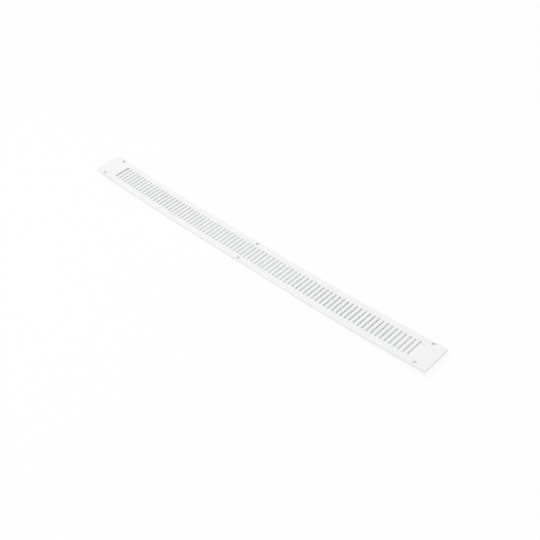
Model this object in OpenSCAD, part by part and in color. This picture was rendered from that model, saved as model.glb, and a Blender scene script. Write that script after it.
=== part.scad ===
// Window vent grille: one long, thin strip with a row of crosswise air slots and three pairs of screw holes.
// X runs along the strip, Y across it and Z away from the wall, so the front face looks up.
// The origin lies under the middle of the strip, on the flat stretch of its back.

/* [Strip] */
// Length of the strip, measured along its back
strip_l = 400; // [300:1:500]
// Width of the strip
strip_w = 28; // [25:0.5:45]
// Thickness of the strip
strip_t = 2.2; // [1.8:0.1:3]
// Length of the stretch in the middle that lies flat
flat_l = 70; // [20:1:150]
// Height by which both ends curl up above the flat stretch
bow_h = 5.4; // [4.5:0.1:12]
// Radius along the two long front edges
edge_r = 0.4; // [0.2:0.1:0.7]

/* [Air slots] */
// Width of a slot at the front face, along the strip
slot_w = 2.4; // [2:0.1:4]
// Length of a slot, across the strip
slot_l = 16.8; // [10:0.2:18]
// Width of the front of the bar between two slots
bar_w = 2; // [1.5:0.1:4]
// Depth over which the flanks of a bar slope down from its front, at 45 degrees
bar_slope = 0.7; // [0.2:0.05:0.75]
// Least length of plain strip left at each end
end_land = 19; // [16:0.5:40]
// Distance from the middle of the strip to the middle of the slots and to the middle holes, towards +X
field_x = 1.5; // [0:0.1:3]

/* [Screw holes] */
// Diameter of a screw hole
hole_d = 3.2; // [2.5:0.1:3.5]
// Distance from an end of the strip to its two holes
hole_end = 11; // [6:0.5:12]
// Distance from a long edge to the row of holes beside it
hole_edge = 2.5; // [2.5:0.1:3.3]

/* [Hidden] */
$fn = 96;
// Facets in a full turn of a curled end, so many because its circle is about 5 m across
curl_fn = 2048;
// Facets in a full turn of the radius along the front edges
round_fn = 48;
// Degrees in one radian
rad = 180 / PI;
// What a cutter stands proud of the face that it opens
proud = 1;

// Curled ends: from the flat stretch on, the back follows a circle of this radius, with its centre above
curl_l = (strip_l - flat_l) / 2;
curl_r = curl_l * curl_l / (2 * bow_h);
curl_a = curl_l / curl_r * rad;

// Slots, in two equal halves with a bar between them
slot_pitch = slot_w + bar_w;
half_field = strip_l / 2 - end_land - field_x - bar_w / 2;
half_slots = floor((half_field + bar_w) / slot_pitch);

// Screw holes, in rows along both long edges
hole_y = strip_w / 2 - hole_edge;
hole_x = strip_l / 2 - hole_end;

// Carries a shape from the middle of the back to a place s along it, square to the strip there
module along_strip(s) {
    flat_s = min(abs(s), flat_l / 2);
    turn = (abs(s) - flat_s) / curl_r * rad;
    translate([sign(s) * flat_s, 0, curl_r]) rotate([0, -sign(s) * turn, 0]) translate([0, 0, -curl_r])
        children();
}

// Cross-section, with the width along its X and the back at its Y = 0
module section() {
    translate([-strip_w / 2, 0]) square([strip_w, strip_t - edge_r]);
    translate([edge_r - strip_w / 2, strip_t - 2 * edge_r]) square([strip_w - 2 * edge_r, 2 * edge_r]);
    for (side = [-1, 1])
        translate([side * (strip_w / 2 - edge_r), strip_t - edge_r]) circle(r = edge_r, $fn = round_fn);
}

module flat_stretch() {
    translate([-flat_l / 2, 0, 0]) rotate([90, 0, 90]) linear_extrude(flat_l) section();
}

// End towards +X, which begins where the flat stretch ends
module curled_end() {
    translate([flat_l / 2, 0, curl_r]) rotate([90, 0, 0]) rotate([0, 0, -90])
        rotate_extrude(angle = curl_a, $fn = curl_fn) translate([curl_r, 0]) rotate([0, 0, 90]) section();
}

// Plain strip, cut off square at both ends
module blank() {
    flat_stretch();
    for (side = [0, 1])
        mirror([side, 0, 0]) curled_end();
}

// Foot of the bar beside a slot, seen along the slot: it stands out under the bar's sloping flank
module bar_foot() {
    polygon([
        [0, strip_t],
        [-bar_slope, strip_t - bar_slope],
        [-bar_slope, -2 * proud],
        [proud, -2 * proud],
        [proud, strip_t]
    ]);
}

// Slot with a bar on each side named, and an upright wall on a side where the plain strip begins
module slot_cutter(bar_sides) {
    rotate([90, 0, 0]) linear_extrude(slot_l, center = true) difference() {
        translate([-slot_w / 2, -proud]) square([slot_w, strip_t + 2 * proud]);
        for (side = bar_sides)
            scale([side, 1]) translate([slot_w / 2, 0]) bar_foot();
    }
}

// The holes run straight through along Z, as the screws do
module hole_cutter() {
    translate([0, 0, -proud]) cylinder(d = hole_d, h = bow_h + strip_t + 2 * proud);
}

module grille_strip() {
    color("white") difference() {
        blank();
        for (side = [-1, 1], i = [0 : half_slots - 1])
            along_strip(field_x + side * (i + 0.5) * slot_pitch)
                slot_cutter(i < half_slots - 1 ? [-1, 1] : [-side]);
        for (x = [-hole_x, field_x, hole_x], y = [-hole_y, hole_y])
            translate([x, y, 0]) hole_cutter();
    }
}

grille_strip();
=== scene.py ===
import math

import bmesh
import bpy
from mathutils import Matrix, Vector


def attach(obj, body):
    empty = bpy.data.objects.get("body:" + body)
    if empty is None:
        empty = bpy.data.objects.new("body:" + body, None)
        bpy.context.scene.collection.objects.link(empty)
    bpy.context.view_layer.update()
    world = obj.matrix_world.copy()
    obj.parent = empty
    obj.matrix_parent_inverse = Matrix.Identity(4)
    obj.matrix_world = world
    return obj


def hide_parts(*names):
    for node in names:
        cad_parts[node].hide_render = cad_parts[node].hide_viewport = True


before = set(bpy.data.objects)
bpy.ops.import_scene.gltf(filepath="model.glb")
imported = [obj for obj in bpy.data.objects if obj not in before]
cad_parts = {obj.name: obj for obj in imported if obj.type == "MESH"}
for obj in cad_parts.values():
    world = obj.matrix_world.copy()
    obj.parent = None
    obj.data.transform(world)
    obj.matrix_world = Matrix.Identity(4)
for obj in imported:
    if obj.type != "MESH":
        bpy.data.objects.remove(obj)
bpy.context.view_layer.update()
scene = bpy.context.scene


# Camera, at the height and turn from which the strip is seen

cameraView = {
    "azimuth": 49.244,        # degrees, from straight in front towards +X
    "elevation": 42.754,      # degrees above the floor
    "roll": -6.747,           # degrees about the line of sight
    "distance": 0.6805,       # metres from the camera to the point it aims at
    "aim": (0.03341, -0.00524, 0.0022),
    "lens": 53.846,           # millimetres, as is the sensor
    "sensor": 36.0,
    "nearClip": 0.01,         # metres
}


def placeCamera(view):
    azimuth = math.radians(view["azimuth"])
    elevation = math.radians(view["elevation"])
    roll = math.radians(view["roll"])
    back = Vector((
        math.sin(azimuth) * math.cos(elevation),
        -math.cos(azimuth) * math.cos(elevation),
        math.sin(elevation),
    ))
    right = (-back).cross(Vector((0, 0, 1))).normalized()
    up = right.cross(-back)
    turnedRight = right * math.cos(roll) + up * math.sin(roll)
    turnedUp = up * math.cos(roll) - right * math.sin(roll)
    data = bpy.data.cameras.new("camera")
    data.sensor_width = view["sensor"]
    data.lens = view["lens"]
    data.clip_start = view["nearClip"]
    camera = bpy.data.objects.new("camera", data)
    scene.collection.objects.link(camera)
    turn = Matrix((turnedRight, turnedUp, back)).transposed().to_4x4()
    camera.matrix_world = Matrix.Translation(Vector(view["aim"]) + back * view["distance"]) @ turn
    scene.camera = camera
    print("camera placed")


placeCamera(cameraView)


# Small helpers for node trees

noiseLow = 0.3                # nearly all of a noise lies between these two
noiseHigh = 0.7


def startMaterial(name):
    material = bpy.data.materials.new(name)
    material.use_nodes = True
    nodes = material.node_tree.nodes
    return material, nodes, material.node_tree.links, nodes["Principled BSDF"]


def addNoise(nodes, links, coordinates, scale, detail):
    noise = nodes.new("ShaderNodeTexNoise")
    noise.inputs["Scale"].default_value = scale
    noise.inputs["Detail"].default_value = detail
    links.new(coordinates, noise.inputs["Vector"])
    return noise.outputs["Fac"]


def addRange(nodes, links, noise, low, high):
    spread = nodes.new("ShaderNodeMapRange")
    spread.inputs["From Min"].default_value = noiseLow
    spread.inputs["From Max"].default_value = noiseHigh
    spread.inputs["To Min"].default_value = low
    spread.inputs["To Max"].default_value = high
    links.new(noise, spread.inputs["Value"])
    return spread.outputs["Result"]


def addMath(nodes, links, operation, first, second):
    step = nodes.new("ShaderNodeMath")
    step.operation = operation
    for socket, value in zip(step.inputs, (first, second)):
        if isinstance(value, float):
            socket.default_value = value
        else:
            links.new(value, socket)
    return step.outputs["Value"]


# 1 for what the camera sees, straight or in a gloss or through glass, and 0 for the light on the object
def seenDirectly(nodes, links):
    path = nodes.new("ShaderNodeLightPath").outputs
    straightOrGloss = addMath(nodes, links, "MAXIMUM", path["Is Camera Ray"], path["Is Glossy Ray"])
    return addMath(nodes, links, "MAXIMUM", straightOrGloss, path["Is Transmission Ray"])


# Satin white plastic of the strip

satinWhite = {
    "palest": (0.896, 0.910, 0.904),
    "darkest": (0.882, 0.896, 0.890),
    "mottleScale": 45.0,      # per metre, broad uneven patches in the white and in the gloss
    "mottleDetail": 3.0,
    "roughLow": 0.38,
    "roughHigh": 0.47,
    "peelScale": 900.0,       # per metre, the fine orange peel of the finish
    "peelDetail": 2.0,
    "streakScale": 1400.0,    # per metre across the strip, faint lines of the moulding
    "streakDetail": 1.0,
    "streakStretch": 0.03,    # how much coarser the same lines are along the strip
    "streakShare": 0.35,      # height of the lines against that of the peel
    "bumpHeight": 0.000012,   # metres
    "bumpStrength": 0.25,
}


def makeSatinWhite(finish):
    material, nodes, links, shader = startMaterial("satin white")
    place = nodes.new("ShaderNodeTexCoord").outputs["Object"]
    mottle = addNoise(nodes, links, place, finish["mottleScale"], finish["mottleDetail"])
    tone = nodes.new("ShaderNodeMix")
    tone.data_type = "RGBA"
    tone.inputs["A"].default_value = (*finish["darkest"], 1)
    tone.inputs["B"].default_value = (*finish["palest"], 1)
    links.new(addRange(nodes, links, mottle, 0.0, 1.0), tone.inputs["Factor"])
    links.new(tone.outputs["Result"], shader.inputs["Base Color"])
    rough = addRange(nodes, links, mottle, finish["roughHigh"], finish["roughLow"])
    links.new(rough, shader.inputs["Roughness"])
    peel = addNoise(nodes, links, place, finish["peelScale"], finish["peelDetail"])
    stretch = nodes.new("ShaderNodeMapping")
    stretch.inputs["Scale"].default_value = (finish["streakStretch"], 1, 1)
    links.new(place, stretch.inputs["Vector"])
    streaks = addNoise(nodes, links, stretch.outputs["Vector"], finish["streakScale"], finish["streakDetail"])
    lowered = addMath(nodes, links, "MULTIPLY", streaks, finish["streakShare"])
    bump = nodes.new("ShaderNodeBump")
    bump.inputs["Strength"].default_value = finish["bumpStrength"]
    bump.inputs["Distance"].default_value = finish["bumpHeight"]
    links.new(addMath(nodes, links, "ADD", peel, lowered), bump.inputs["Height"])
    links.new(bump.outputs["Normal"], shader.inputs["Normal"])
    return material


# The strip: cut out flat from a thin sheet, then thickened, rounded at its rims and curled

ventStrip = {
    "length": 0.400,
    "width": 0.028,
    "thickness": 0.0022,
    "flatLength": 0.070,      # stretch in the middle that lies flat
    "rise": 0.0054,           # how far both ends curl up
    "slotWidth": 0.0024,      # at the front
    "slotLength": 0.0168,
    "barWidth": 0.0020,       # at the front
    "barSlope": 0.0007,       # depth over which the flanks of the bars slope down at 45 degrees
    "slotsPerHalf": 41,
    "fieldX": 0.0015,         # middle of the slots and middle holes, off the middle of the strip
    "holeRadius": 0.0016,
    "holeFromEnd": 0.011,
    "holeFromEdge": 0.0025,
    "holeFacets": 32,
    "edgeRound": 0.0004,      # both long front edges
    "edgeSteps": 5,
    "rimRound": 0.00010,      # all other rims
    "rimSteps": 2,
    "sharpAngle": 0.6,        # radians between two faces, above which their edge gets a rounding
    "slack": 0.000001,        # metres within which two places count as the same
    "cutSlack": 0.0000001,    # the same for a cut through the sheet
}


# Cuts through all faces or those given, which are taken in order so that each run cuts alike
def cutSheet(mesh, place, across, faces=None):
    faces = faces or mesh.faces[:]
    edges = dict.fromkeys(edge for face in faces for edge in face.edges)
    verts = dict.fromkeys(vert for face in faces for vert in face.verts)
    bmesh.ops.bisect_plane(
        mesh,
        geom=[*verts, *edges, *faces],
        dist=ventStrip["cutSlack"],
        plane_co=(place, 0, 0) if across else (0, place, 0),
        plane_no=(1, 0, 0) if across else (0, 1, 0),
    )


def facesWithin(mesh, lowX, highX, lowY, highY):
    found = []
    for face in mesh.faces:
        middle = face.calc_center_bounds()
        if lowX < middle.x < highX and lowY < middle.y < highY:
            found.append(face)
    return found


# Both sides of each slot at the front and at the back, where the flank of a bar beside it makes it narrower
def slotSides(shape):
    pitch = shape["slotWidth"] + shape["barWidth"]
    count = shape["slotsPerHalf"] * 2
    sides = []
    for index in range(count):
        middle = shape["fieldX"] + (index - (count - 1) / 2) * pitch
        low = middle - shape["slotWidth"] / 2
        high = middle + shape["slotWidth"] / 2
        backLow = low if index == 0 else low + shape["barSlope"]
        backHigh = high if index == count - 1 else high - shape["barSlope"]
        sides.append((low, backLow, backHigh, high))
    return sides


def openSlots(mesh, shape):
    halfLength = shape["slotLength"] / 2
    for place in (-halfLength, halfLength):
        cutSheet(mesh, place, across=False)
    sides = slotSides(shape)
    for places in sides:
        for place in sorted(set(places)):
            cutSheet(mesh, place, across=True)
    inside = []
    for low, backLow, backHigh, high in sides:
        inside += facesWithin(mesh, backLow, backHigh, -halfLength, halfLength)
    bmesh.ops.delete(mesh, geom=inside, context="FACES")


# A square round each hole is cut free, its sides are split evenly, and it is joined to a circle
def openHole(mesh, x, y, shape):
    reach = shape["holeFromEdge"]
    for place in (x - reach, x + reach):
        nearby = facesWithin(mesh, x - 2 * reach, x + 2 * reach, y - reach, y + reach)
        cutSheet(mesh, place, across=True, faces=nearby)
    square = facesWithin(mesh, x - reach, x + reach, y - reach, y + reach)
    if len(square) > 1:
        square = bmesh.ops.dissolve_faces(mesh, faces=square, use_verts=False)["region"]
    rim = square[0].edges[:]
    parts = shape["holeFacets"] // len(rim)
    bmesh.ops.delete(mesh, geom=square, context="FACES_ONLY")
    bmesh.ops.subdivide_edges(mesh, edges=rim, cuts=parts - 1)
    span = reach + shape["slack"]
    rim = [edge for edge in mesh.edges if all(
        abs(vert.co.x - x) < span and abs(vert.co.y - y) < span for vert in edge.verts)]
    circle = bmesh.ops.create_circle(
        mesh, segments=shape["holeFacets"], radius=shape["holeRadius"], matrix=Matrix.Translation((x, y, 0)))
    hoop = dict.fromkeys(edge for vert in circle["verts"] for edge in vert.link_edges)
    bmesh.ops.bridge_loops(mesh, edges=[*rim, *hoop])


def cutOutStrip(mesh, shape):
    bmesh.ops.create_grid(mesh, x_segments=1, y_segments=1, size=0.5)
    bmesh.ops.scale(mesh, vec=(shape["length"], shape["width"], 1), verts=mesh.verts[:])
    holeX = shape["length"] / 2 - shape["holeFromEnd"]
    holeY = shape["width"] / 2 - shape["holeFromEdge"]
    reach = shape["holeFromEdge"]
    openSlots(mesh, shape)
    for side in (-1, 1):
        cutSheet(mesh, side * (holeY - reach), across=False)
        for place in (holeX - reach, holeX + reach):
            cutSheet(mesh, side * place, across=True)
    for x in (-holeX, shape["fieldX"], holeX):
        for y in (-holeY, holeY):
            openHole(mesh, x, y, shape)
    print("strip cut out flat")


def thicken(mesh, faces, height):
    grown = bmesh.ops.extrude_face_region(mesh, geom=faces)["geom"]
    lifted = [item for item in grown if isinstance(item, bmesh.types.BMVert)]
    bmesh.ops.translate(mesh, vec=(0, 0, height), verts=lifted)


# The sheet grows to the foot of the flanks, then all but the flanks grows on to the front.
# The outer side of each flank is welded to the front above it, which slopes the flank.
def raiseFront(mesh, shape):
    footHeight = shape["thickness"] - shape["barSlope"]
    halfLength = shape["slotLength"] / 2
    sides = slotSides(shape)
    thicken(mesh, mesh.faces[:], footHeight)
    flanks = []
    covered = []
    for face in mesh.faces:
        middle = face.calc_center_bounds()
        if middle.z > footHeight - shape["slack"]:
            inSlot = abs(middle.y) < halfLength and any(low < middle.x < high for low, _, _, high in sides)
            (flanks if inSlot else covered).append(face)
    thicken(mesh, covered, shape["barSlope"])
    bmesh.ops.delete(mesh, geom=covered, context="FACES")
    outer = [place for low, _, _, high in sides for place in (low, high)]
    welds = {}
    for vert in dict.fromkeys(vert for face in flanks for vert in face.verts):
        if min(abs(vert.co.x - place) for place in outer) < shape["slack"]:
            joined = [edge.other_vert(vert) for edge in vert.link_edges]
            welds[vert] = max(joined, key=lambda other: other.co.z)
    bmesh.ops.weld_verts(mesh, targetmap=welds)
    bmesh.ops.recalc_face_normals(mesh, faces=mesh.faces[:])
    print("strip thickened,", len(flanks), "flanks sloped")


def sharpEdges(mesh, angle):
    return [edge for edge in mesh.edges if edge.is_manifold and edge.is_convex and edge.calc_face_angle() > angle]


def bevelEdges(mesh, edges, width, steps):
    bmesh.ops.bevel(
        mesh, geom=edges, offset=width, offset_type="OFFSET", segments=steps,
        profile=0.5, affect="EDGES", clamp_overlap=True, loop_slide=True, material=-1)


# First the long front edges with their own radius, then every outward edge that is still sharp
def roundRims(mesh, shape):
    front = shape["thickness"] - shape["slack"]
    side = shape["width"] / 2 - shape["slack"]
    longEdges = [edge for edge in sharpEdges(mesh, shape["sharpAngle"]) if all(
        vert.co.z > front and abs(vert.co.y) > side for vert in edge.verts)]
    bevelEdges(mesh, longEdges, shape["edgeRound"], shape["edgeSteps"])
    bevelEdges(mesh, sharpEdges(mesh, shape["sharpAngle"]), shape["rimRound"], shape["rimSteps"])
    print("rims rounded,", len(mesh.faces), "faces")


# Both ends follow a circle from the flat stretch on, with its centre above and the back on the circle
def curlStrip(mesh, shape):
    halfFlat = shape["flatLength"] / 2
    curled = shape["length"] / 2 - halfFlat
    radius = curled * curled / (2 * shape["rise"])
    for vert in mesh.verts:
        past = abs(vert.co.x) - halfFlat
        if past > 0:
            turn = past / radius
            reach = halfFlat + (radius - vert.co.z) * math.sin(turn)
            height = radius - (radius - vert.co.z) * math.cos(turn)
            vert.co = (math.copysign(reach, vert.co.x), vert.co.y, height)


def makeStrip(shape, material):
    mesh = bmesh.new()
    cutOutStrip(mesh, shape)
    raiseFront(mesh, shape)
    roundRims(mesh, shape)
    curlStrip(mesh, shape)
    data = bpy.data.meshes.new("ventStrip")
    mesh.to_mesh(data)
    mesh.free()
    data.shade_smooth()
    data.set_sharp_from_angle(angle=shape["sharpAngle"])
    data.materials.append(material)
    piece = bpy.data.objects.new("ventStrip", data)
    scene.collection.objects.link(piece)
    even = piece.modifiers.new("even shading", "WEIGHTED_NORMAL")
    even.keep_sharp = True
    print("strip finished")
    return piece


strip = makeStrip(ventStrip, makeSatinWhite(satinWhite))
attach(strip, "root")
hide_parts("grille_strip")


# Pale floor that the strip lies on

paleFloor = {
    "size": 8.0,
    "gap": 0.00005,           # metres below the back of the strip, so that no two faces coincide
    "colour": (0.95, 0.95, 0.95),
    "roughness": 0.9,
    "whitening": 0.88,        # share of plain white in the floor as seen, while the rest keeps the shadow
}


def makeFloor(floor):
    bpy.ops.mesh.primitive_plane_add(size=floor["size"], location=(0, 0, -floor["gap"]))
    plane = bpy.context.object
    plane.name = "floor"
    material, nodes, links, shader = startMaterial("pale floor")
    shader.inputs["Base Color"].default_value = (*floor["colour"], 1)
    shader.inputs["Roughness"].default_value = floor["roughness"]
    shader.inputs["Specular IOR Level"].default_value = 0.0
    plain = nodes.new("ShaderNodeEmission")
    blend = nodes.new("ShaderNodeMixShader")
    share = addMath(nodes, links, "MULTIPLY", seenDirectly(nodes, links), floor["whitening"])
    links.new(share, blend.inputs["Fac"])
    links.new(shader.outputs["BSDF"], blend.inputs[1])
    links.new(plain.outputs["Emission"], blend.inputs[2])
    links.new(blend.outputs["Shader"], nodes["Material Output"].inputs["Surface"])
    plane.data.materials.append(material)
    print("floor laid")


makeFloor(paleFloor)


# Soft studio light: an even room and one wide lamp overhead, a little to the left,
# which leaves the sides of the strip in the shade

studio = {
    "room": 0.71,             # strength of the even light from all around
    "lampPlace": (-0.3, -0.3, 1.35),
    "lampSize": 1.0,          # metres across
    "lampPower": 6.9,         # watts
}


def lightStudio(light):
    world = bpy.data.worlds.new("room")
    scene.world = world
    world.use_nodes = True
    nodes, links = world.node_tree.nodes, world.node_tree.links
    background = nodes["Background"]
    background.inputs["Color"].default_value = (1, 1, 1, 1)
    lift = addMath(nodes, links, "MULTIPLY", seenDirectly(nodes, links), 1.0 - light["room"])
    links.new(addMath(nodes, links, "ADD", lift, light["room"]), background.inputs["Strength"])
    data = bpy.data.lights.new("lamp", "AREA")
    data.shape = "DISK"
    data.size = light["lampSize"]
    data.energy = light["lampPower"]
    lamp = bpy.data.objects.new("lamp", data)
    lamp.location = light["lampPlace"]
    lamp.rotation_euler = (-Vector(light["lampPlace"])).to_track_quat("-Z", "Y").to_euler()
    scene.collection.objects.link(lamp)
    scene.view_settings.view_transform = "Standard"
    print("studio lit")


lightStudio(studio)
